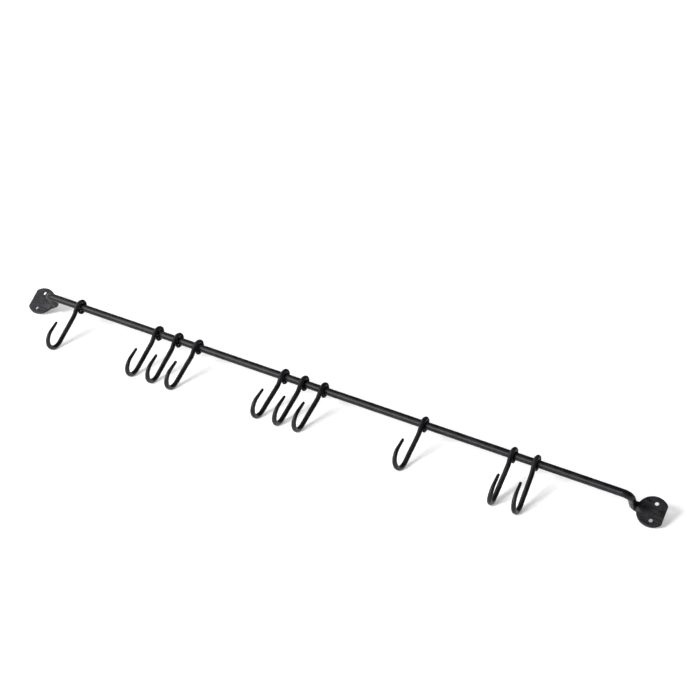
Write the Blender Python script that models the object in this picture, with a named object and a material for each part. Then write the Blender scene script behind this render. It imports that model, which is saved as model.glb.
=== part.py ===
# Forged iron hook rack: a round rail whose ends are forged flat into wall
# plates, and ten hooks that hang loose on it, each by an eye curled round it.
#
# Metres, +Z up. X runs along the rail, the wall is the plane y = 0 and the
# room is on the -Y side. The origin lies on the wall, midway between the
# plates and level with the rail.

from collections import namedtuple
from math import acos, asin, cos, pi, radians, sin, sqrt, tan

import bmesh
import bpy
from mathutils import Matrix, Vector

# Rail, and the crank at each end that brings it back to the wall
RAIL_DIAMETER = 0.0105
STANDOFF = 0.040            # wall to the middle of the rail
LEG_ANGLE = radians(88)     # slope of the crank's leg, measured from the rail
CRANK_RADIUS = 0.0115      # bend from the rail into the leg, at the bar's middle
LEFT_FOOT_RADIUS = 0.0085   # bend from the leg into the plate, at the bar's middle
RIGHT_FOOT_RADIUS = 0.0057
LEG_BAR = 0.0102            # the bar's thickness down the leg

# End plates, forged from the same bar
PLATE_SPAN = 0.990          # middle of one plate to the middle of the other
LEFT_PLATE_DIAMETER = 0.0442    # forged by eye, so the two differ
RIGHT_PLATE_DIAMETER = 0.0430
PLATE_THICKNESS = 0.0036
PLATE_CUT = 0.0164          # middle of the plate to its straight outer edge
PLATE_ROUNDING = 0.0012     # left by the hammer round the plate's rim
LEFT_NECK_WIDTH = 0.0135    # where the bar, spreading, runs out into the plate
RIGHT_NECK_WIDTH = 0.0185
NECK_ROUNDING = 0.0017      # of the neck's edges
NECK_CROWN = 0.0026         # how far the bar still stands proud of the plate there
NECK_RIDGE = 0.0085         # width of that crown
CROWN_RUN_OUT = 0.65        # share of the plate's outline over which the crown dies away

# Screw holes, one above the other in each plate
HOLE_DIAMETER = 0.0058
LEFT_HOLE_SPACING = 0.0265
RIGHT_HOLE_SPACING = 0.0240
HOLE_OFFSET = 0.0016        # from the middle of the plate towards its outer edge
CUTTER_DEPTH = 0.015

# One end of the rail, with what differs between the two
End = namedtuple("End", "side diameter neck_width foot_radius hole_spacing")
LEFT_END = End(
    -1, LEFT_PLATE_DIAMETER, LEFT_NECK_WIDTH, LEFT_FOOT_RADIUS, LEFT_HOLE_SPACING
)
RIGHT_END = End(
    1, RIGHT_PLATE_DIAMETER, RIGHT_NECK_WIDTH, RIGHT_FOOT_RADIUS, RIGHT_HOLE_SPACING
)

# Hooks, each drawn out from one round bar
HOOK_BAR = 0.0067           # shank and throat
EYE_BAR = 0.0037            # at the free end of the curl that makes the eye
TIP_BAR = 0.0040
HOOK_DROP = 0.0817          # middle of the eye to the middle of the bar at the bottom
THROAT_RADIUS = 0.017       # at the bar's middle
THROAT_TURN = radians(187)  # a little past a half turn, so the arm leans inwards
TAPER_START = 0.6           # share of the throat after which the bar thins to the tip
TIP_RISE = 0.0310           # from the bottom of the throat to the tip
EYE_TURN = radians(300)     # how far the bar curls round the rail
EYE_LEAD = 0.0030           # how far that curl's end lies beside its start
EYE_OFFSET = 0.0034         # the curl starts this far to the left of the shank,
OFFSET_RUN = 0.022          # which eases across over this length below the rail
EYE_CLEARANCE = 0.0006      # between the eye and the rail, all round
EYE_SEAT = 0.0003           # what is left of it on top, where the hook hangs

# Where the hooks hang. For each group: its place as a share of half the
# plates' span, the spacing inside the group, and the number of hooks.
LEFT_SPACING = 0.0348
MIDDLE_SPACING = 0.0317
RIGHT_SPACING = 0.0328
HOOK_GROUPS = (
    (-0.8024, LEFT_SPACING, 1),
    (-0.4473, LEFT_SPACING, 3),
    (-0.0202, MIDDLE_SPACING, 3),
    (0.3572, MIDDLE_SPACING, 1),
    (0.6525, RIGHT_SPACING, 2),
)

# Each hook was bent by hand. In degrees: how far it swings out into the room,
# how far its shank leans sideways, and how far its throat turns off square.
HOOK_STANCES = (
    (1.0, 0.0, 0.0),
    (3.5, 0.0, 2.5),
    (4.5, -0.5, 1.5),
    (5.0, 1.0, 1.0),
    (8.5, 2.0, -1.5),
    (9.0, 1.0, 2.0),
    (10.0, 1.0, -0.5),
    (7.5, -0.5, -10.5),
    (5.0, -1.0, 2.5),
    (4.5, -3.5, -5.0),
)

# Fineness of the round forms
SHARP_EDGE = radians(35)
RAIL_SIDES = 24
BEND_STEPS = 8
DISC_STEPS = 12
HOLE_SIDES = 24
HOOK_RESOLUTION = 4         # a curve's bevel resolution, which gives 12 sides
EYE_STEPS = 18
OFFSET_STEPS = 4
THROAT_STEPS = 12
ARM_STEPS = 4
END_ANGLES = (radians(35), radians(68))  # rings that round off a bar's end


def clear_scene():
    for item in list(bpy.data.objects):
        bpy.data.objects.remove(item, do_unlink=True)


def new_collection(name):
    collection = bpy.data.collections.new(name)
    bpy.context.scene.collection.children.link(collection)
    return collection


def iron(name, color, roughness):
    """Blackened iron for one piece."""
    material = bpy.data.materials.new(name)
    material.use_nodes = True
    shader = material.node_tree.nodes["Principled BSDF"]
    shader.inputs["Base Color"].default_value = (*color, 1.0)
    shader.inputs["Metallic"].default_value = 0.7
    shader.inputs["Roughness"].default_value = roughness
    return material


def mix(start, end, share):
    return start + (end - start) * share


def ease(share):
    share = min(max(share, 0.0), 1.0)
    return share * share * (3.0 - 2.0 * share)


# Rail

def crank_sizes(end):
    """Length of the leg between its two bends, and length of the crank along X."""
    depth = STANDOFF - PLATE_THICKNESS / 2
    radii = CRANK_RADIUS + end.foot_radius
    leg = (depth - radii * (1 - cos(LEG_ANGLE))) / sin(LEG_ANGLE)
    return leg, radii * sin(LEG_ANGLE) + leg * cos(LEG_ANGLE)


def neck_place(end):
    """Distance from the rail's middle to where the bar's neck meets a plate's round rim."""
    return PLATE_SPAN / 2 - sqrt((end.diameter / 2) ** 2 - (end.neck_width / 2) ** 2)


def outline(width, thickness, rounding, ridge, crown):
    """Section of the bar as (up, forward) points, from a full circle to a flat plate.

    Every side touches the true outline, so flats stay true to size. The two
    points in the middle of the front carry the crown of the neck.
    """
    per_corner = RAIL_SIDES // 4 - 1
    circle_step = 2 * pi / RAIL_SIDES
    plate_step = pi / 2 / per_corner
    flatness = 1 - rounding / (RAIL_DIAMETER / 2)
    points = []
    for up, forward in ((1, 1), (-1, 1), (-1, -1), (1, -1)):
        corner = []
        for index in range(per_corner):
            angle = (index + 0.5) * mix(circle_step, plate_step, flatness)
            reach = rounding / cos(circle_step / 2)
            corner.append((
                up * (width / 2 - rounding + reach * cos(angle)),
                forward * (thickness / 2 - rounding + reach * sin(angle)),
            ))
        swell = crown if forward > 0 else 0.0
        corner.append((up * ridge / 2, forward * thickness / 2 + swell))
        if up * forward < 0:
            corner.reverse()
        points += corner
    return points


def round_section(diameter):
    """The same section's sizes for a round bar."""
    return (diameter, diameter, diameter / 2, diameter * tan(pi / RAIL_SIDES), 0.0)


def blend(one, other, share):
    return tuple(mix(a, b, share) for a, b in zip(one, other))


def rail_stations(end):
    """(x, y, heading, section) of the bar from the end of its straight part to a cut edge."""
    leg, crank = crank_sizes(end)
    neck_x = neck_place(end)
    bar, leg_bar = round_section(RAIL_DIAMETER), round_section(LEG_BAR)
    neck = (end.neck_width, PLATE_THICKNESS, NECK_ROUNDING, NECK_RIDGE, NECK_CROWN)
    x, y = neck_x - crank, -STANDOFF
    stations = [(x, y, 0.0, bar)]

    # Crank: the bar turns towards the wall, thinning a little, and runs down its leg
    for step in range(1, BEND_STEPS + 1):
        angle = LEG_ANGLE * step / BEND_STEPS
        shape = blend(bar, leg_bar, step / BEND_STEPS)
        bend_x = x + CRANK_RADIUS * sin(angle)
        bend_y = y + CRANK_RADIUS * (1 - cos(angle))
        stations.append((bend_x, bend_y, angle, shape))

    # Foot: it turns along the wall again, and the hammer begins to flatten it
    for step in range(BEND_STEPS + 1):
        share = step / BEND_STEPS
        angle = LEG_ANGLE * (1 - share)
        shape = blend(leg_bar, neck, ease(share))
        foot_x = neck_x - end.foot_radius * sin(angle)
        foot_y = -PLATE_THICKNESS / 2 - end.foot_radius * (1 - cos(angle))
        stations.append((foot_x, foot_y, angle, shape))

    # Plate: a disc whose outer side is cut off straight
    radius = end.diameter / 2
    first, last = asin(end.neck_width / 2 / radius), acos(-PLATE_CUT / radius)
    for step in range(1, DISC_STEPS + 1):
        turn = mix(first, last, step / DISC_STEPS)
        run_out = ease(step / DISC_STEPS / CROWN_RUN_OUT)
        shape = (
            2 * radius * sin(turn),
            PLATE_THICKNESS,
            mix(neck[2], PLATE_ROUNDING, run_out),
            NECK_RIDGE,
            NECK_CROWN * (1 - run_out),
        )
        disc_x = PLATE_SPAN / 2 - radius * cos(turn)
        stations.append((disc_x, -PLATE_THICKNESS / 2, 0.0, shape))
    return stations


def end_rings(bm, end):
    """The bar's sections at one end of the rail, from its straight part to the cut edge."""
    rings = []
    for x, y, heading, shape in rail_stations(end):
        turn = Matrix.Rotation(end.side * heading, 4, "Z")
        place = Matrix.Translation((end.side * x, y, 0.0)) @ turn
        ring = [bm.verts.new(place @ Vector((0.0, -deep, up))) for up, deep in outline(*shape)]
        rings.append(ring)
    return rings


def rail_mesh():
    """The bar's sections joined from the left plate's cut edge to the right one's."""
    bm = bmesh.new()
    rings = end_rings(bm, LEFT_END)[::-1] + end_rings(bm, RIGHT_END)
    for near, far in zip(rings, rings[1:]):
        for index in range(RAIL_SIDES):
            after = (index + 1) % RAIL_SIDES
            bm.faces.new((near[index], near[after], far[after], far[index]))
    bm.faces.new(rings[0])
    bm.faces.new(rings[-1])
    bmesh.ops.recalc_face_normals(bm, faces=bm.faces)
    mesh = bpy.data.meshes.new("rail")
    bm.to_mesh(mesh)
    bm.free()
    return mesh


def screw_hole_cutters(collection):
    for end in (LEFT_END, RIGHT_END):
        for level in (-1, 1):
            bpy.ops.mesh.primitive_cylinder_add(
                vertices=HOLE_SIDES,
                radius=HOLE_DIAMETER / 2,
                depth=CUTTER_DEPTH,
                location=(
                    end.side * (PLATE_SPAN / 2 + HOLE_OFFSET),
                    -PLATE_THICKNESS / 2,
                    level * end.hole_spacing / 2,
                ),
                rotation=(pi / 2, 0.0, 0.0),
            )
            cutter = bpy.context.object
            cutter.name = "screw_hole_cutter"
            cutter.hide_render = True
            cutter.display_type = "WIRE"
            for home in cutter.users_collection:
                home.objects.unlink(cutter)
            collection.objects.link(cutter)


def build_rail(parts, cutters):
    rail = bpy.data.objects.new("rail", rail_mesh())
    parts.objects.link(rail)
    rail.data.materials.append(iron("rail_iron", (0.022, 0.022, 0.024), 0.42))

    screw_hole_cutters(cutters)
    holes = rail.modifiers.new("screw_holes", "BOOLEAN")
    holes.operation = "DIFFERENCE"
    holes.operand_type = "COLLECTION"
    holes.collection = cutters
    rail.data.shade_smooth()
    rail.data.set_sharp_from_angle(angle=SHARP_EDGE)


# Hooks

def eye_route():
    """Middle and radius of the bar from the curl's free end, round the rail, to its front."""
    bore = RAIL_DIAMETER / 2 + EYE_CLEARANCE
    sag = EYE_CLEARANCE - EYE_SEAT
    route = []
    for step in range(EYE_STEPS + 1):
        share = 1 - step / EYE_STEPS
        angle = EYE_TURN * share
        bar = mix(HOOK_BAR, EYE_BAR, share) / 2
        reach = bore + bar
        aside = EYE_LEAD * share - EYE_OFFSET
        middle = Vector((aside, -reach * cos(angle), reach * sin(angle) - sag))
        route.append((middle, bar))
    return route


def throat_route(start, down, front):
    """From the eye's front down the shank, round the throat and up to the tip."""
    offset = Vector((EYE_OFFSET, 0.0, 0.0))
    shank_length = HOOK_DROP - THROAT_RADIUS + start.z
    route = []
    for step in range(1, OFFSET_STEPS + 1):
        share = step / OFFSET_STEPS
        middle = start + offset * ease(share) + down * (OFFSET_RUN * share)
        route.append((middle, HOOK_BAR / 2))
    route.append((start + offset + down * shank_length, HOOK_BAR / 2))

    throat_length = THROAT_RADIUS * THROAT_TURN
    arm_length = TIP_RISE - THROAT_RADIUS
    untapered = throat_length * TAPER_START
    tapered = throat_length + arm_length - untapered
    heart = route[-1][0] + front * THROAT_RADIUS
    for step in range(1, THROAT_STEPS + 1):
        angle = THROAT_TURN * step / THROAT_STEPS
        spoke = down * sin(angle) - front * cos(angle)
        thinning = max(THROAT_RADIUS * angle - untapered, 0.0) / tapered
        route.append((heart + spoke * THROAT_RADIUS, mix(HOOK_BAR, TIP_BAR, thinning) / 2))

    rise = -down * cos(THROAT_TURN - pi) - front * sin(THROAT_TURN - pi)
    foot, _ = route[-1]
    for step in range(1, ARM_STEPS + 1):
        height = arm_length * step / ARM_STEPS
        thinning = (throat_length - untapered + height) / tapered
        route.append((foot + rise * height, mix(HOOK_BAR, TIP_BAR, thinning) / 2))
    return route


def rounded_end(route, last_first):
    """Extra points that round off one end of the bar."""
    (middle, bar), (inner, _) = (route[0], route[1]) if last_first else (route[-1], route[-2])
    out = (middle - inner).normalized()
    ends = [(middle + out * bar * sin(t), bar * cos(t)) for t in END_ANGLES]
    return ends[::-1] + route if last_first else route + ends


def hook_curve(name, lean, turn):
    """The whole hook as one bar: eye, shank, throat and tip."""
    route = eye_route()
    stance = Matrix.Rotation(lean, 3, "Y") @ Matrix.Rotation(turn, 3, "Z")
    down = stance @ Vector((0.0, 0.0, -1.0))
    front = stance @ Vector((0.0, -1.0, 0.0))
    route += throat_route(route[-1][0], down, front)
    route = rounded_end(rounded_end(route, True), False)

    curve = bpy.data.curves.new(name, "CURVE")
    curve.dimensions = "3D"
    curve.bevel_depth = 1.0
    curve.bevel_resolution = HOOK_RESOLUTION
    curve.use_fill_caps = True
    spline = curve.splines.new("POLY")
    spline.points.add(len(route) - 1)
    for point, (middle, bar) in zip(spline.points, route):
        point.co = (*middle, 1.0)
        point.radius = bar
    spline.use_smooth = True
    return curve


def hook_places():
    half = PLATE_SPAN / 2
    places = []
    for share, spacing, count in HOOK_GROUPS:
        for index in range(count):
            places.append(half * share + spacing * (index - (count - 1) / 2))
    return places


def build_hooks(parts):
    for number, (x, stance) in enumerate(zip(hook_places(), HOOK_STANCES), start=1):
        swing, lean, turn = (radians(value) for value in stance)
        name = f"hook_{number:02d}"
        hook = bpy.data.objects.new(name, hook_curve(name, lean, turn))
        hook.location = (x, -STANDOFF, 0.0)
        hook.rotation_euler = (-swing, 0.0, 0.0)
        hook.data.materials.append(iron(f"{name}_iron", (0.016, 0.016, 0.018), 0.5))
        parts.objects.link(hook)


def build():
    clear_scene()
    parts = new_collection("forged_iron_hook_rack")
    cutters = new_collection("cutters")
    build_rail(parts, cutters)
    build_hooks(parts)


build()
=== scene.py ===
import bpy
import bmesh
from math import acos, asin, atan2, cos, exp, pi, radians, sin, sqrt
from mathutils import Matrix, Vector, noise


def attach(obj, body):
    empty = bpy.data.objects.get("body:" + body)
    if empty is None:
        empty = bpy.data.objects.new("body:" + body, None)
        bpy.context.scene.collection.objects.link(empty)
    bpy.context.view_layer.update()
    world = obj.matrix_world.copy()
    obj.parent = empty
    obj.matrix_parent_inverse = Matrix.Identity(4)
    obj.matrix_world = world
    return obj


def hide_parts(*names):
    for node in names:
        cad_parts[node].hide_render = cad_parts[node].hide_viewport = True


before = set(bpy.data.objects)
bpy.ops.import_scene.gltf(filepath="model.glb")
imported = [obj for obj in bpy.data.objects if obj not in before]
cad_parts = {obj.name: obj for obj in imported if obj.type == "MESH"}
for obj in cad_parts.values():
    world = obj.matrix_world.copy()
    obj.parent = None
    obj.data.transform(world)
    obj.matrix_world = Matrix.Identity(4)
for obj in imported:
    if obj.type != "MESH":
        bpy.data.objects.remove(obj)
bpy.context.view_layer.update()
print("frame loaded:", len(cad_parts), "nodes")


def mixed(start, end, share):
    return start + (end - start) * share


def eased(share):
    share = min(max(share, 0.0), 1.0)
    return share * share * (3.0 - 2.0 * share)


def meshFrom(bm, name):
    mesh = bpy.data.meshes.new(name)
    bm.to_mesh(mesh)
    bm.free()
    return mesh


def newObject(name, data):
    made = bpy.data.objects.new(name, data)
    bpy.context.scene.collection.objects.link(made)
    return made


# Shader maths: one socket, with Math nodes behind its operators

class Wire:
    def __init__(self, tree, socket=None):
        self.tree = tree
        self.socket = socket

    # Any other node: its type, its settings, then the values or links of its sockets
    def node(self, kind, settings=None, sockets=None, out=0):
        made = self.tree.nodes.new(kind)
        for name, value in (settings or {}).items():
            setattr(made, name, value)
        for name, value in (sockets or {}).items():
            if isinstance(value, Wire):
                self.tree.links.new(value.socket, made.inputs[name])
            else:
                made.inputs[name].default_value = value
        return Wire(self.tree, made.outputs[out] if made.outputs else None)

    def maths(self, operation, first, second=None):
        sockets = {0: first} if second is None else {0: first, 1: second}
        return self.node("ShaderNodeMath", {"operation": operation}, sockets)

    def __add__(self, other):
        return self.maths("ADD", self, other)

    def __radd__(self, other):
        return self.maths("ADD", other, self)

    def __sub__(self, other):
        return self.maths("SUBTRACT", self, other)

    def __rsub__(self, other):
        return self.maths("SUBTRACT", other, self)

    def __mul__(self, other):
        return self.maths("MULTIPLY", self, other)

    def __rmul__(self, other):
        return self.maths("MULTIPLY", other, self)

    # Smooth step of this value from 0 at low to 1 at high
    def step(self, low, high):
        settings = {"interpolation_type": "SMOOTHSTEP"}
        sockets = {"Value": self, "From Min": low, "From Max": high}
        return self.node("ShaderNodeMapRange", settings, sockets)

    # This value mixes two colours; a Mix node's colour sockets go by number
    def blend(self, first, second):
        settings = {"data_type": "RGBA", "blend_type": "MIX"}
        sockets = {0: self, 6: first, 7: second}
        return self.node("ShaderNodeMix", settings, sockets, out=2)

    def feed(self, shader, name):
        self.tree.links.new(self.socket, shader.inputs[name])


# Camera: where the photo was taken from

photoView = {
    "azimuth": 22.82,           # degrees
    "elevation": -17.14,
    "roll": 25.23,
    "distance": 1.99845,
    "aim": (0.0119, 0.0, 0.08202),
    "lens": 71.13,              # mm, on a sensor 36 mm wide
    "clipNear": 0.05,
    "clipFar": 60.0,
}


def makeCamera(view):
    azimuth, elevation, roll = (radians(view[key]) for key in ("azimuth", "elevation", "roll"))
    back = Vector((sin(azimuth) * cos(elevation), -cos(azimuth) * cos(elevation), sin(elevation)))
    level = Vector((cos(azimuth), sin(azimuth), 0.0))
    plumb = back.cross(level)
    right = level * cos(roll) + plumb * sin(roll)
    up = plumb * cos(roll) - level * sin(roll)
    turn = Matrix((right, up, back)).transposed().to_4x4()
    place = Vector(view["aim"]) + back * view["distance"]
    camera = newObject("camera", bpy.data.cameras.new("camera"))
    camera.matrix_world = Matrix.Translation(place) @ turn
    camera.data.lens = view["lens"]
    camera.data.clip_start = view["clipNear"]
    camera.data.clip_end = view["clipFar"]
    bpy.context.scene.camera = camera


makeCamera(photoView)
print("camera set")


# Floor: the rack lies back on a soft white sheet, on its plates' rims and its hooks

floorForm = {
    "tilt": 42.2,           # degrees between the floor's normal and +Z, leaning to the room
    "size": 30.0,
    "strips": 1500,         # along the rack, so the sheet can follow what rests on it
    "gap": 0.0003,          # left under what rests on it
    "colour": 0.88,
    "lift": 0.25,           # glow added for the camera and for reflections, to reach white
    "farLift": 0.6,         # and more of it where the key's light falls off
    "farFrom": 0.40,        # metres from the rack's middle
    "farFull": 1.3,
    "mirrorShare": 0.33,    # how much of the glow reflections see
}


# The floor's directions: along the rack, down the slope to the front, and straight off the floor
def floorAxes(form):
    tilt = radians(form["tilt"])
    along = Vector((1.0, 0.0, 0.0))
    normal = Vector((0.0, -sin(tilt), cos(tilt)))
    return along, along.cross(normal), normal


# Where the rack touches the floor: the lowest corner of each hook and of each half of the rail
def floorContacts(normal):
    lows = []
    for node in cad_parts.values():
        corners = [vert.co for vert in node.data.vertices]
        for side in (-1, 1):
            half = [corner for corner in corners if corner.x * side > 0]
            if half:
                lowest = min(half, key=normal.dot)
                lows.append((lowest.x, normal.dot(lowest)))
    return sorted(lows)


# How high the sheet lies at x, eased from one contact to the next
def heightAt(contacts, x):
    if x <= contacts[0][0]:
        return contacts[0][1]
    for (nearX, near), (farX, far) in zip(contacts, contacts[1:]):
        if x <= farX:
            return mixed(near, far, eased((x - nearX) / (farX - nearX)))
    return contacts[-1][1]


def floorPaint(form):
    material = bpy.data.materials.new("whiteFloor")
    material.use_nodes = True
    tree = material.node_tree
    tree.nodes.clear()
    start = Wire(tree)
    grey = form["colour"]
    paint = start.node("ShaderNodeBsdfDiffuse", sockets={"Color": (grey, grey, grey, 1.0)})
    seen = start.node("ShaderNodeLightPath", out="Is Camera Ray")
    mirrored = start.node("ShaderNodeLightPath", out="Is Glossy Ray")
    spot = start.node("ShaderNodeTexCoord", out="Object")
    away = start.node("ShaderNodeVectorMath", {"operation": "LENGTH"}, {0: spot}, out="Value")
    far = away.step(form["farFrom"], form["farFull"]) * form["farLift"]
    lift = (seen + mirrored * form["mirrorShare"]) * (far + form["lift"])
    glow = start.node("ShaderNodeEmission", sockets={"Strength": lift})
    top = start.node("ShaderNodeAddShader", sockets={0: paint, 1: glow})
    clear = start.node("ShaderNodeBsdfTransparent")     # from below, so that it hides nothing
    below = start.node("ShaderNodeNewGeometry", out="Backfacing") * seen
    both = start.node("ShaderNodeMixShader", sockets={0: below, 1: top, 2: clear})
    start.node("ShaderNodeOutputMaterial", sockets={"Surface": both})
    return material


# The sheet gives a little from place to place, so all of the rack rests on it
def makeFloor(form):
    along, front, normal = floorAxes(form)
    contacts = floorContacts(normal)
    bm = bmesh.new()
    bmesh.ops.create_grid(bm, x_segments=form["strips"], y_segments=1, size=form["size"] / 2)
    turn = Matrix((along, -front, normal)).transposed().to_4x4()
    bmesh.ops.transform(bm, matrix=turn, verts=bm.verts)
    for vert in bm.verts:
        vert.co += normal * (heightAt(contacts, vert.co.x) - form["gap"])
    mesh = meshFrom(bm, "floor")
    mesh.shade_smooth()
    mesh.materials.append(floorPaint(form))
    floor = newObject("floor", mesh)


# Light: a key, a side lamp, and a broad soft one from above, for the shadows where the rack
# touches the floor. Two white cards, a low one in front and a wide one at the left, are seen in
# reflections only, and mirrored says whether a lamp is seen there too.
# An azimuth is degrees to the right of straight in front, and a height degrees above the floor.

studioLight = {
    "room": 0.12,           # the same from all round
    # The key's place: along the rack, in front of it, above the floor
    "key": {"place": (-0.15, 2.30, 1.12), "power": 107, "size": 0.60, "mirrored": False},
    "side": {"azimuth": -52, "height": 42, "strength": 0.70, "spread": 40, "mirrored": True},
    "sky": {"azimuth": 0, "height": 90, "strength": 0.62, "spread": 120, "mirrored": False},
    # A card's edge and heart are the cosines where it begins and where it is full
    "glow": {"azimuth": -28, "height": 13, "strength": 7.0, "edge": 0.86, "heart": 0.99},
    "flank": {"azimuth": -100, "height": 14, "strength": 0.9, "edge": 0.72, "heart": 0.97},
}


def directionOf(lamp):
    azimuth, height = radians(lamp["azimuth"]), radians(lamp["height"])
    along, front, normal = floorAxes(floorForm)
    level = front * cos(azimuth) + along * sin(azimuth)
    return level * cos(height) + normal * sin(height)


def addLamp(name, light, place, direction, mirrored):
    lamp = newObject(name, light)
    turn = direction.to_track_quat("Z", "Y").to_matrix().to_4x4()
    lamp.matrix_world = Matrix.Translation(place) @ turn
    lamp.visible_glossy = mirrored


def makeLamps(lights):
    key = lights["key"]
    along, front, normal = floorAxes(floorForm)
    right, ahead, above = key["place"]
    place = along * right + front * ahead + normal * above
    light = bpy.data.lights.new("keySoftbox", "AREA")
    light.energy = key["power"]
    light.size = key["size"]
    addLamp("keySoftbox", light, place, place, key["mirrored"])
    for name in ("side", "sky"):
        lamp = lights[name]
        light = bpy.data.lights.new(name + "Softbox", "SUN")
        light.energy = lamp["strength"]
        light.angle = radians(lamp["spread"])
        addLamp(name + "Softbox", light, Vector(), directionOf(lamp), lamp["mirrored"])


# White where the camera sees it, dim on the rack, and with the two cards in its reflections
def makeWorld(lights):
    world = bpy.data.worlds.new("studio")
    bpy.context.scene.world = world
    world.use_nodes = True
    tree = world.node_tree
    tree.nodes.clear()
    start = Wire(tree)
    seen = start.node("ShaderNodeLightPath", out="Is Camera Ray")
    seen = seen.maths("MAXIMUM", seen, start.node("ShaderNodeLightPath", out="Is Transmission Ray"))
    mirrored = start.node("ShaderNodeLightPath", out="Is Glossy Ray")
    way = start.node("ShaderNodeTexCoord", out="Generated")

    def card(name):
        values = lights[name]
        sockets = {0: way, 1: directionOf(values)}
        facing = start.node("ShaderNodeVectorMath", {"operation": "DOT_PRODUCT"}, sockets, out="Value")
        return facing.step(values["edge"], values["heart"]) * values["strength"]

    glow = (card("glow") + card("flank")) * mirrored
    strength = seen + (1 - seen) * (glow + lights["room"])
    sky = start.node("ShaderNodeBackground", sockets={"Color": (1, 1, 1, 1), "Strength": strength})
    start.node("ShaderNodeOutputWorld", sockets={"Surface": sky})


makeFloor(floorForm)
makeWorld(studioLight)
makeLamps(studioLight)
bpy.context.scene.view_settings.view_transform = "Standard"
print("stage made")


# Black forged iron: dark scale under a thin wax, with forging lines drawn out along the bar

ironLook = {
    # the darkest scale, also the colour of the painted shade in an eye's curl
    "darkScaleAndShade": (0.0024, 0.0024, 0.0029),
    "paleScale": (0.0080, 0.0078, 0.0086),
    "rustTint": (0.015, 0.010, 0.007),
    "coolTint": (0.94, 0.95, 1.0),      # of what it reflects
    "metallic": 0.0,
    "shine": 0.27,
    "smooth": 0.25,                     # roughness without wear, and with full wear
    "rough": 0.36,
    # Patterns: scale, detail and roughness of the noise, the low and high levels between which
    # a pattern comes in, and how much it adds to tone, wear and height
    "blotch": {"noise": (70, 3, 0.55), "low": 0.35, "high": 0.68, "tone": 0.55, "wear": 0.5},
    "lines": {"noise": (260, 4, 0.55), "tone": 0.45, "height": 0.5},
    "grain": {"noise": (2200, 2, 0.55), "wear": 0.3, "height": 0.12},
    "pits": {"noise": (900, 2, 0.55), "low": 0.62, "high": 0.72, "wear": 0.4, "depth": 0.5},
    "rust": {"noise": (38, 5, 0.65), "low": 0.60, "high": 0.75, "tone": 0.5},
    "streaks": {"noise": (520, 3, 0.55), "low": 0.3, "high": 0.7, "height": 1.5},
    "toneLow": 0.25,
    "toneHigh": 0.75,
    "bumpStrength": 0.55,
    "bumpDistance": 0.0003,
    "railLines": (0.12, 1.0, 1.0),      # lines are drawn out along X on the rail
    "hookLines": (1.0, 1.0, 0.15),      # and along Z on the hooks
    "plateFrom": 0.472,                 # along the rail, where it turns flat and streaked
    "plateFull": 0.480,
    "curlShadeFrom": -0.0474,                # behind this an eye is painted darker, duller and less reflective, as painted shade in its curl
    "curlShadeFull": -0.0458,
    "curlShadeDull": 0.30,
    "curlShadeMetallic": 0.8,
}


# curled, from 0 to 1, is how much painted shade goes into the curl of an eye
def forgedIron(name, look, drawnOut, curled=0.0):
    material = bpy.data.materials.new(name)
    material.use_nodes = True
    tree = material.node_tree
    shader = tree.nodes["Principled BSDF"]
    start = Wire(tree)
    place = start.node("ShaderNodeTexCoord", out="Object")

    def cloud(pattern, stretch=(1, 1, 1)):
        spot = start.node("ShaderNodeMapping", sockets={"Vector": place, "Scale": stretch})
        scale, detail, rough = pattern["noise"]
        sockets = {"Vector": spot, "Scale": scale, "Detail": detail, "Roughness": rough}
        made = start.node("ShaderNodeTexNoise", sockets=sockets)
        return made.step(pattern["low"], pattern["high"]) if "low" in pattern else made

    blotch = cloud(look["blotch"])
    lines = cloud(look["lines"], stretch=drawnOut)
    grain = cloud(look["grain"])
    pits = cloud(look["pits"])
    rust = cloud(look["rust"])

    tone = blotch * look["blotch"]["tone"] + lines * look["lines"]["tone"]
    tone = tone.step(look["toneLow"], look["toneHigh"])
    colour = tone.blend((*look["darkScaleAndShade"], 1), (*look["paleScale"], 1))
    colour = (rust * look["rust"]["tone"]).blend(colour, (*look["rustTint"], 1))
    # Painted shade: behind the shank an eye's curl is blended to the darkest colour, made rougher and
    # more metallic so it reflects less
    depth = start.node("ShaderNodeSeparateXYZ", sockets={"Vector": place}, out="Y")
    curlShade = depth.step(look["curlShadeFrom"], look["curlShadeFull"]) * curled
    curlShade.blend(colour, (*look["darkScaleAndShade"], 1)).feed(shader, "Base Color")

    wear = blotch * look["blotch"]["wear"] + grain * look["grain"]["wear"] + pits * look["pits"]["wear"]
    roughness = look["smooth"] + wear * (look["rough"] - look["smooth"])
    (roughness + curlShade * look["curlShadeDull"]).feed(shader, "Roughness")
    (look["metallic"] + curlShade * look["curlShadeMetallic"]).feed(shader, "Metallic")
    shader.inputs["Specular IOR Level"].default_value = look["shine"]
    shader.inputs["Specular Tint"].default_value = (*look["coolTint"], 1.0)

    along = start.node("ShaderNodeSeparateXYZ", sockets={"Vector": place}, out="X")
    plate = along.maths("ABSOLUTE", along).step(look["plateFrom"], look["plateFull"])
    streaks = cloud(look["streaks"], stretch=drawnOut)
    height = lines * look["lines"]["height"] + grain * look["grain"]["height"]
    height = height - pits * look["pits"]["depth"] + plate * streaks * look["streaks"]["height"]
    sockets = {"Height": height, "Strength": look["bumpStrength"], "Distance": look["bumpDistance"]}
    start.node("ShaderNodeBump", sockets=sockets).feed(shader, "Normal")
    return material


railIron = forgedIron("railIron", ironLook, ironLook["railLines"])
# The hooks' iron carries the painted shade in the curls of their eyes
hookIron = forgedIron("hookIron", ironLook, ironLook["hookLines"], curled=1.0)
print("iron made")


# The edges that join a ring's points
def ringEdges(ring):
    within = set(ring)
    linked = dict.fromkeys(edge for vert in ring for edge in vert.link_edges)
    return [edge for edge in linked if within.issuperset(edge.verts)]


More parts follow.
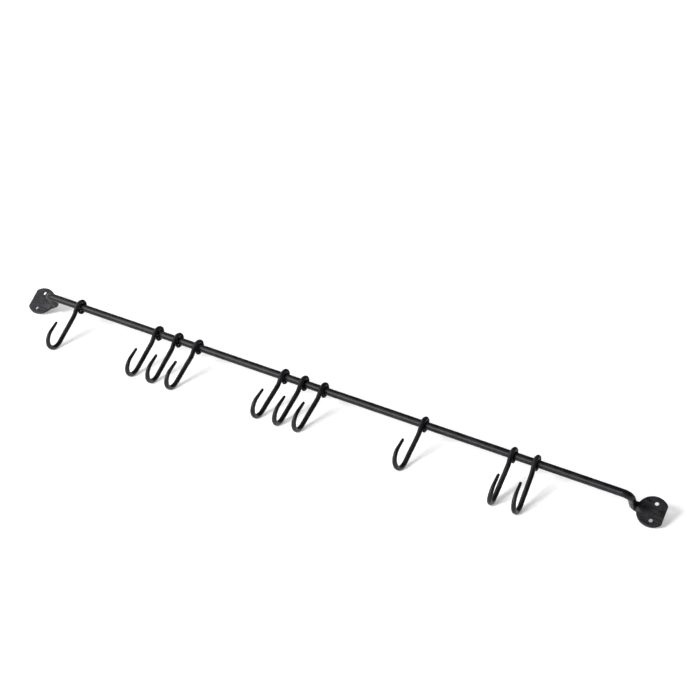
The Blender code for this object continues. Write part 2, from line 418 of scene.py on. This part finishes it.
# A bar: one ring of points, extruded from place to place along the bar. Returns its end edges.
def sweepBar(bm, sides, stations):
    around = bm.verts.layers.int.new("around")
    # Any radius does here, since each station places the ring's points
    ring = bmesh.ops.create_circle(bm, segments=sides, radius=0.01)["verts"]
    for index, vert in enumerate(ring):
        vert[around] = index
    edges = ringEdges(ring)
    firstEdges = edges
    for number, placeRing in enumerate(stations):
        if number:
            made = bmesh.ops.extrude_edge_only(bm, edges=edges)["geom"]
            ring = [item for item in made if isinstance(item, bmesh.types.BMVert)]
            edges = ringEdges(ring)
        for vert in ring:
            vert.co = placeRing(vert[around])
    return firstEdges, edges


# An extrusion makes its faces in any order, so they get one that is the same each run.
# The way through a mesh puts the links between them in that order too.
def ordered(bm):
    bm.verts.index_update()

    def rank(item):
        corners = [vert.index for vert in item.verts]
        return max(corners) * len(bm.verts) + min(corners)

    bm.edges.sort(key=rank)
    bm.faces.sort(key=rank)
    mesh = meshFrom(bm, "ordered")
    bm = bmesh.new()
    bm.from_mesh(mesh)
    bpy.data.meshes.remove(mesh)
    return bm


# Hammer blows: each leaves a shallow dish, and the metal swells between them
def hammered(bm, form):
    dishFall = 1.6      # how soon a dish runs out
    bm.normal_update()
    moves = []
    for vert in bm.verts:
        distances, _ = noise.voronoi(vert.co / form["dishSize"])
        dish = max(0.0, 1.0 - distances[0] ** 2 * dishFall)
        wave = 0.5 + 0.5 * noise.noise(vert.co / form["waveSize"])
        moves.append((vert, vert.normal * -(dish * form["dishDepth"] + wave * form["waveDepth"])))
    for vert, move in moves:
        vert.co += move


def forgeBar(form, stations):
    bm = bmesh.new()
    for edges in sweepBar(bm, form["sides"], stations):
        bmesh.ops.contextual_create(bm, geom=edges)
    bm = ordered(bm)
    bmesh.ops.recalc_face_normals(bm, faces=bm.faces)
    hammered(bm, form)
    return bm


def finishPiece(bm, name, material, body, node):
    sharpFrom = 42      # degrees
    mesh = meshFrom(bm, name)
    mesh.shade_smooth()
    mesh.set_sharp_from_angle(angle=radians(sharpFrom))
    mesh.materials.append(material)
    piece = newObject(name, mesh)
    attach(piece, body)
    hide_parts(node)
    return piece


# Rail: round bar, a crank at each end, and the plates forged out of it.
# Where the two ends differ, -1 is the left one and 1 the right one.

railForm = {
    "bar": 0.0110,              # over the scale and the hammer marks
    "standoff": 0.040,
    "legAngle": 88,             # degrees
    "crankRadius": 0.0115,
    "footRadius": {-1: 0.0085, 1: 0.0060},
    "legBar": 0.0107,
    "legFlare": {-1: 0.0107, 1: 0.0128},    # the right leg spreads towards its foot
    "plateSpan": 0.990,
    "plateAcross": {-1: 0.0442, 1: 0.0430},
    "plateThick": 0.0036,
    "plateCut": 0.0164,
    "rim": 0.0012,
    "cutEdge": 0.0006,
    "arrisTurns": (30, 60, 90),             # degrees round the dulled arris of the cut edge
    "neckWidth": {-1: 0.0135, 1: 0.0145},
    "webStart": {-1: 0.0240, 1: 0.0195},    # below the neck a web runs straight to the rim
    "webHalf": 0.0053,
    "neckRounding": 0.0017,
    "neckCrown": 0.0026,
    "neckRidge": 0.0050,
    "crownRunOut": 0.70,
    "hole": {-1: 0.0059, 1: 0.0055},
    "holeSpacing": {-1: 0.0265, 1: 0.0240},
    "holeOffset": 0.0016,
    "holeSides": 48,
    "sides": 48,
    "ringGap": 0.0025,
    "bendSteps": 14,
    "legSteps": 9,
    "plateSteps": 40,
    "dishSize": 0.0085,
    "dishDepth": 0.00010,
    "waveSize": 0.03,
    "waveDepth": 0.00008,
}


# A point of a flat section with rounded rims
def plateSection(index, sides, width, thick, rounding):
    quarter = sides // 4
    part, step = divmod(index, quarter)
    faceSteps = quarter * 2 // 3        # of each quarter, on the flat face
    share = (step + 0.5) / quarter
    if part % 2:
        share = 1 - share
    flat = faceSteps / quarter
    half, deep = width / 2, thick / 2
    if share > 1 - flat:                # on the face, from the rim to the middle
        along = (1 - share) / flat
        up, forward = (half - rounding) * along, deep
    else:                               # round the rim
        turn = share / (1 - flat) * pi / 2
        up = half - rounding + rounding * cos(turn)
        forward = deep - rounding + rounding * sin(turn)
    upSign = 1 if part in (0, 3) else -1
    forwardSign = 1 if part in (0, 1) else -1
    return up * upSign, forward * forwardSign


# A shape is a section's width, thickness, rounding, flatness, crown and reach below the middle

def roundShape(width, thick):
    return width, thick, thick / 2, 0.0, 0.0, width / 2


def mixedShape(start, end, share):
    return tuple(mixed(a, b, share) for a, b in zip(start, end))


def railSection(form, index, shape):
    sides = form["sides"]
    width, thick, rounding, flatness, crown, low = shape
    angle = 2 * pi * (index + 0.5) / sides
    roundUp, roundForward = width / 2 * cos(angle), thick / 2 * sin(angle)
    flatUp, flatForward = plateSection(index, sides, width, thick, rounding)
    up = mixed(roundUp, flatUp, flatness)
    forward = mixed(roundForward, flatForward, flatness)
    if forward > 0:
        forward += crown * exp(-((up / form["neckRidge"]) ** 2))
    if up < 0:
        up *= low / (width / 2)
    return up, forward


# How far the web below a neck reaches, at a distance from the plate's middle
def webReach(form, side, away):
    radius = form["plateAcross"][side] / 2
    start, half = form["webStart"][side], form["webHalf"]
    turn = atan2(half, start) + acos(min(radius / sqrt(start ** 2 + half ** 2), 1.0))
    touch = radius * cos(turn)          # where the web meets the round rim
    if away < touch or away > start:
        return 0.0
    return mixed(half, radius * sin(turn), (start - away) / (start - touch))


# One half of the rail, from its middle to the neck: the x, y, heading and shape of each ring
def barRings(form, side):
    legAngle = radians(form["legAngle"])
    neck, flare = form["neckWidth"][side], form["legFlare"][side]
    crank, foot = form["crankRadius"], form["footRadius"][side]
    barShape = roundShape(form["bar"], form["bar"])
    legShape = roundShape(form["legBar"], form["legBar"])
    footShape = roundShape(flare, form["legBar"])
    neckShape = (neck, form["plateThick"], form["neckRounding"], 1.0, form["neckCrown"], neck / 2)

    depth = form["standoff"] - form["plateThick"] / 2
    legLength = (depth - (crank + foot) * (1 - cos(legAngle))) / sin(legAngle)
    radius = form["plateAcross"][side] / 2
    neckX = form["plateSpan"] / 2 - sqrt(radius ** 2 - (neck / 2) ** 2)
    straight = neckX - (crank + foot) * sin(legAngle) - legLength * cos(legAngle)

    steps = round(straight / form["ringGap"])
    for step in range(steps + 1):
        yield straight * step / steps, -form["standoff"], 0.0, barShape

    bends = form["bendSteps"]
    for step in range(1, bends + 1):                # the crank
        angle = legAngle * step / bends
        x = straight + crank * sin(angle)
        y = -form["standoff"] + crank * (1 - cos(angle))
        yield x, y, angle, mixedShape(barShape, legShape, step / bends)

    for step in range(1, form["legSteps"]):         # the leg, on from the crank's last ring
        share = step / form["legSteps"]
        run = legLength * share
        shape = mixedShape(legShape, footShape, eased(share))
        yield x + run * cos(legAngle), y + run * sin(legAngle), legAngle, shape

    for step in range(bends + 1):                   # the foot, which turns flat into the neck
        share = step / bends
        angle = legAngle * (1 - share)
        footX = neckX - foot * sin(angle)
        footY = -form["plateThick"] / 2 - foot * (1 - cos(angle))
        _, *middle, _ = mixedShape(footShape, neckShape, eased(share))
        width = mixed(flare, neck, eased(share) ** 2)
        low = max(width / 2, webReach(form, side, form["plateSpan"] / 2 - footX) * share)
        yield footX, footY, angle, (width, *middle, low)


# The plate, from the neck to its cut edge
def plateRings(form, side):
    thick, plateY = form["plateThick"], -form["plateThick"] / 2
    radius = form["plateAcross"][side] / 2
    first = asin(form["neckWidth"][side] / 2 / radius)
    last = acos(-form["plateCut"] / radius)
    steps = form["plateSteps"]
    for step in range(1, steps + 1):
        turn = mixed(first, last, step / steps)
        runOut = eased(step / steps / form["crownRunOut"])
        width = 2 * radius * sin(turn)
        rounding = mixed(form["neckRounding"], form["rim"], runOut)
        crown = form["neckCrown"] * (1 - runOut)
        x = form["plateSpan"] / 2 - radius * cos(turn)
        if step == steps:
            x -= form["cutEdge"]
        low = max(width / 2, webReach(form, side, form["plateSpan"] / 2 - x))
        yield x, plateY, 0.0, (width, thick, rounding, 1.0, crown, low)
    for turn in form["arrisTurns"]:
        inward = form["cutEdge"] * (1 - cos(radians(turn)))
        outward = form["cutEdge"] * (sin(radians(turn)) - 1)
        across = width - 2 * inward
        shape = (across, thick - 2 * inward, form["rim"] - inward, 1.0, 0.0, across / 2)
        yield form["plateSpan"] / 2 + form["plateCut"] + outward, plateY, 0.0, shape


def railStations(form, side):
    def station(x, y, heading, shape):
        spot = Matrix.Translation((side * x, y, 0)) @ Matrix.Rotation(side * heading, 4, "Z")

        def placeRing(index):
            up, forward = railSection(form, index, shape)
            return spot @ Vector((0, -forward, up))

        return placeRing

    return [station(*ring) for rings in (barRings, plateRings) for ring in rings(form, side)]


def cutHoles(piece, form):
    bm = bmesh.new()
    for side in (-1, 1):
        for level in (-1, 1):
            x = side * (form["plateSpan"] / 2 + form["holeOffset"])
            z = level * form["holeSpacing"][side] / 2
            bore = form["hole"][side] / 2
            place = Matrix.Translation((x, -form["plateThick"] / 2, z))
            bmesh.ops.create_cone(
                bm, cap_ends=True, segments=form["holeSides"], radius1=bore, radius2=bore,
                depth=form["plateThick"] * 3,       # well through the plate
                matrix=place @ Matrix.Rotation(pi / 2, 4, "X"),
            )
    punch = newObject("punches", meshFrom(bm, "punches"))
    cut = piece.modifiers.new("holes", "BOOLEAN")
    cut.operation = "DIFFERENCE"
    cut.object = punch
    graph = bpy.context.evaluated_depsgraph_get()
    plain = piece.data
    pierced = bpy.data.meshes.new_from_object(piece.evaluated_get(graph))
    piece.modifiers.remove(cut)
    piece.data = pierced
    bpy.data.meshes.remove(plain)
    bpy.data.meshes.remove(punch.data)      # and the punch goes with its mesh


def makeRail(form):
    left, right = (railStations(form, side) for side in (-1, 1))
    bm = forgeBar(form, left[:0:-1] + right)        # both halves begin with the middle ring
    piece = finishPiece(bm, "forgedRail", railIron, "rail", "rail")
    cutHoles(piece, form)


makeRail(railForm)
print("rail made")


# Hooks: each one bar, curled into an eye, bent into a throat and drawn out to a tip

hookForm = {
    "bar": 0.0071,
    "eyeBar": 0.0041,
    "tipBar": 0.0043,
    "drop": 0.0814,
    "throat": 0.0168,
    "throatTurn": 187,          # degrees
    "taperStart": 0.6,          # as a share of the throat
    "tipRise": 0.031,
    "eyeTurn": 300,             # degrees
    "eyeLead": 0.0030,
    "offsetRun": 0.022,         # over which the shank eases back under the eye
    "eyeBore": 0.0117,
    "eyeSag": 0.0003,
    "eyeClose": 0.00022,        # an eye is closed a little tighter behind the rail
    "endTurns": (15, 30, 45, 58, 70, 80),   # degrees round each rounded end
    "sides": 24,
    "eyeSteps": 48,
    "shankSteps": 44,
    "throatSteps": 46,
    "tipSteps": 12,
    "dishSize": 0.0065,
    "dishDepth": 0.00012,
    "waveSize": 0.016,
    "waveDepth": 0.00014,
    # Place along the rail; degrees out into the room, sideways, off square; the eye's offset
    "stances": (
        (-0.3972, 1.0, 0.0, 0.0, 0.0034),
        (-0.2562, 3.5, 0.0, 2.5, 0.0034),
        (-0.2214, 4.5, -0.5, 1.5, 0.0034),
        (-0.1866, 5.0, 1.0, 1.0, 0.0034),
        (-0.0417, 8.5, 2.0, -1.5, 0.0034),
        (-0.0100, 9.0, 1.0, 2.0, 0.0032),
        (0.0217, 10.0, 1.0, -0.5, 0.0030),
        (0.1768, 7.5, -0.5, -10.5, 0.0024),
        (0.3066, 5.0, -1.0, 2.5, 0.0019),
        (0.3394, 4.5, -3.5, -5.0, 0.0019),
    ),
}


# The bar's middle line, about the rail's axis, and its radius at each point of it
def hookRoute(form, lean, turn, offset):
    stance = Matrix.Rotation(lean, 3, "Y") @ Matrix.Rotation(turn, 3, "Z")
    down, front = stance @ Vector((0, 0, -1)), stance @ Vector((0, -1, 0))
    route = []
    for step in range(form["eyeSteps"] + 1):        # the eye, from its thin end
        share = 1 - step / form["eyeSteps"]
        angle = radians(form["eyeTurn"]) * share
        thick = mixed(form["bar"], form["eyeBar"], share) / 2
        reach = form["eyeBore"] / 2 + thick - form["eyeClose"] * (1 - cos(angle)) / 2
        aside = form["eyeLead"] * share - offset
        point = Vector((aside, -reach * cos(angle), reach * sin(angle) - form["eyeSag"]))
        route.append((point, thick))

    top = route[-1][0]
    shank = form["drop"] - form["throat"] + top.z
    for step in range(1, form["shankSteps"] + 1):   # the shank
        run = shank * step / form["shankSteps"]
        aside = offset * eased(run / form["offsetRun"])
        route.append((top + Vector((aside, 0, 0)) + down * run, form["bar"] / 2))

    heart = route[-1][0] + front * form["throat"]
    turned = radians(form["throatTurn"])
    bow = form["throat"] * turned
    arm = form["tipRise"] - form["throat"]
    plain = bow * form["taperStart"]
    tapered = bow + arm - plain
    for step in range(1, form["throatSteps"] + 1):  # the throat
        angle = turned * step / form["throatSteps"]
        spoke = down * sin(angle) - front * cos(angle)
        thinning = max(form["throat"] * angle - plain, 0.0) / tapered
        thick = mixed(form["bar"], form["tipBar"], thinning) / 2
        route.append((heart + spoke * form["throat"], thick))

    foot = route[-1][0]
    rise = -down * cos(turned - pi) - front * sin(turned - pi)
    for step in range(1, form["tipSteps"] + 1):     # the tip
        height = arm * step / form["tipSteps"]
        thinning = (bow - plain + height) / tapered
        route.append((foot + rise * height, mixed(form["bar"], form["tipBar"], thinning) / 2))
    return roundedEnd(form, roundedEnd(form, route[::-1])[::-1])


def roundedEnd(form, route):
    (inner, _), (last, thick) = route[-2:]
    out = (last - inner).normalized()
    turns = [radians(turn) for turn in form["endTurns"]]
    return route + [(last + out * thick * sin(turn), thick * cos(turn)) for turn in turns]


def hookStations(route, place, sides):
    points = [place @ point for point, _ in route]
    across = place.to_3x3() @ Vector((1, 0, 0))
    stations = []
    for index, (_, thick) in enumerate(route):
        ahead = points[min(index + 1, len(points) - 1)] - points[max(index - 1, 0)]
        along = ahead.normalized()
        across = (across - along * across.dot(along)).normalized()
        inward = along.cross(across)

        def placeRing(number, centre=points[index], u=across.copy(), v=inward, r=thick):
            angle = 2 * pi * number / sides
            return centre + (u * cos(angle) + v * sin(angle)) * r

        stations.append(placeRing)
    return stations


def makeHook(number, stance, form):
    along, *degrees, offset = stance
    swing, lean, turn = (radians(value) for value in degrees)
    spot = Matrix.Translation((along, -railForm["standoff"], 0))
    place = spot @ Matrix.Rotation(-swing, 4, "X")
    route = hookRoute(form, lean, turn, offset)
    bm = forgeBar(form, hookStations(route, place, form["sides"]))
    node = f"hook_{number:02d}"
    finishPiece(bm, f"forgedHook{number:02d}", hookIron, node, node)


for number, stance in enumerate(hookForm["stances"], start=1):
    makeHook(number, stance, hookForm)
print("hooks made")
